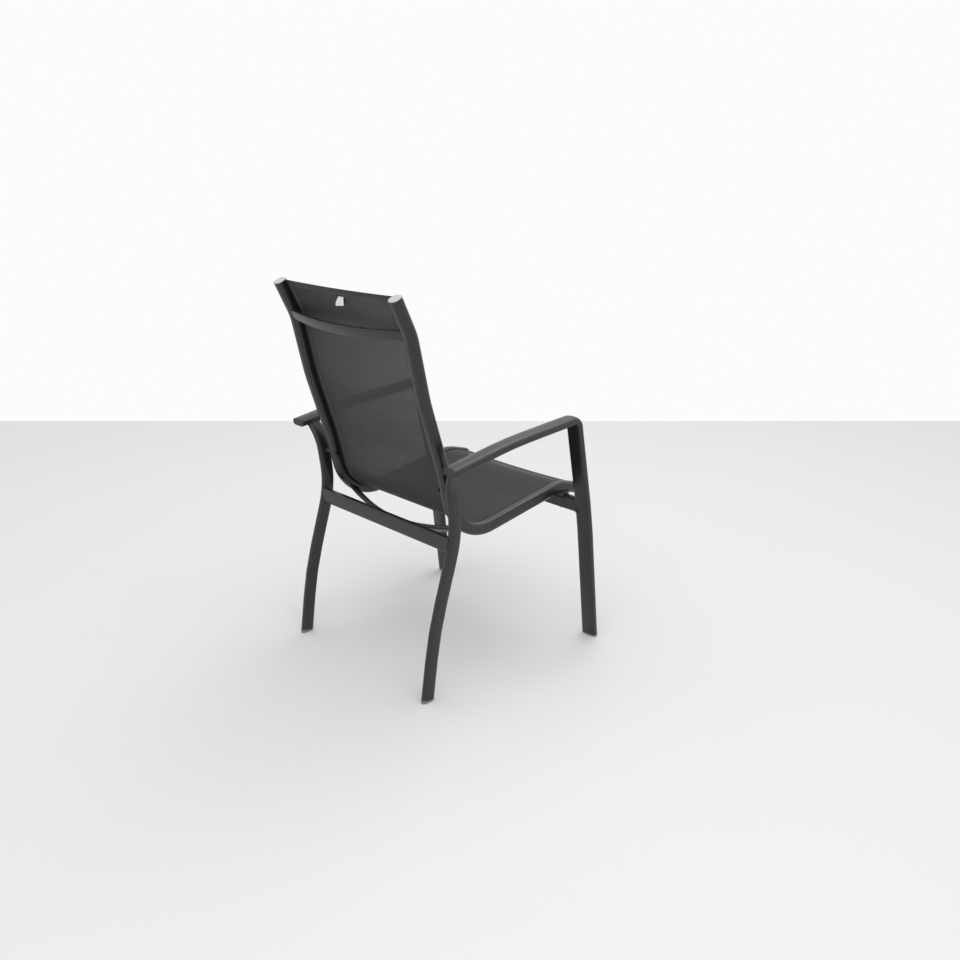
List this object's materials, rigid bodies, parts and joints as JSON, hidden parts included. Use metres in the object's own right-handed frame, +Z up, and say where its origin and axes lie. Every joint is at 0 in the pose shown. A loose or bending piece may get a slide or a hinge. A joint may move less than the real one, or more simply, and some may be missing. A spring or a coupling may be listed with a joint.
{
  "type": "sling patio chair",
  "caption": "High-backed stacking patio armchair: a mesh fabric sling held in the grooves of two bent side rails, hung between bent flat-oval tube arms and legs.",
  "frame": {"origin": "on the floor under the middle of the chair's bounding box", "axes": "+X to the sitter's left, -Y the way the sitter faces, +Z up"},
  "size_m": [0.7004, 0.685, 1.0605],
  "materials": {
    "frame": "charcoal powder coat, fine texture, satin",
    "fabric": "woven coated polyester mesh, charcoal, slightly see-through",
    "light_plastic": "light grey moulded plastic, matt",
    "dark_plastic": "black-grey moulded plastic, matt",
    "glide": "grey moulded polyethylene, matt",
    "zinc": "zinc-plated steel"
  },
  "bodies": {
    "root": {"arm_and_front_leg_left": "frame", "arm_and_front_leg_right": "frame", "rear_leg_left": "frame", "rear_leg_right": "frame", "rear_crossbar": "frame", "front_crossbar": "frame", "sling_rail_left": "frame", "sling_rail_right": "frame", "spline_rod_left": "dark_plastic", "spline_rod_right": "dark_plastic", "sling_fabric": "fabric", "back_brace": "frame", "back_brace_pin_left": "zinc", "back_brace_pin_right": "zinc", "seat_rear_brace": "frame", "seat_rear_brace_pin_left": "zinc", "seat_rear_brace_pin_right": "zinc", "seat_front_brace": "frame", "seat_front_brace_pin_left": "zinc", "seat_front_brace_pin_right": "zinc", "rail_top_cap_left": "light_plastic", "rail_top_cap_right": "light_plastic", "rail_front_cap_left": "light_plastic", "rail_front_cap_right": "light_plastic", "arm_end_plug_left": "dark_plastic", "arm_end_plug_right": "dark_plastic", "front_glide_left": "glide", "front_glide_right": "glide", "rear_glide_left": "glide", "rear_glide_right": "glide", "frame_bolt_left": "zinc", "frame_bolt_right": "zinc", "rivet_nut_left": "zinc", "rivet_nut_right": "zinc", "frame_spacer_left": "dark_plastic", "frame_spacer_right": "dark_plastic", "rail_saddle_left": "dark_plastic", "rail_saddle_right": "dark_plastic", "saddle_screw_left": "zinc", "saddle_screw_right": "zinc"}
  },
  "joints": []
}
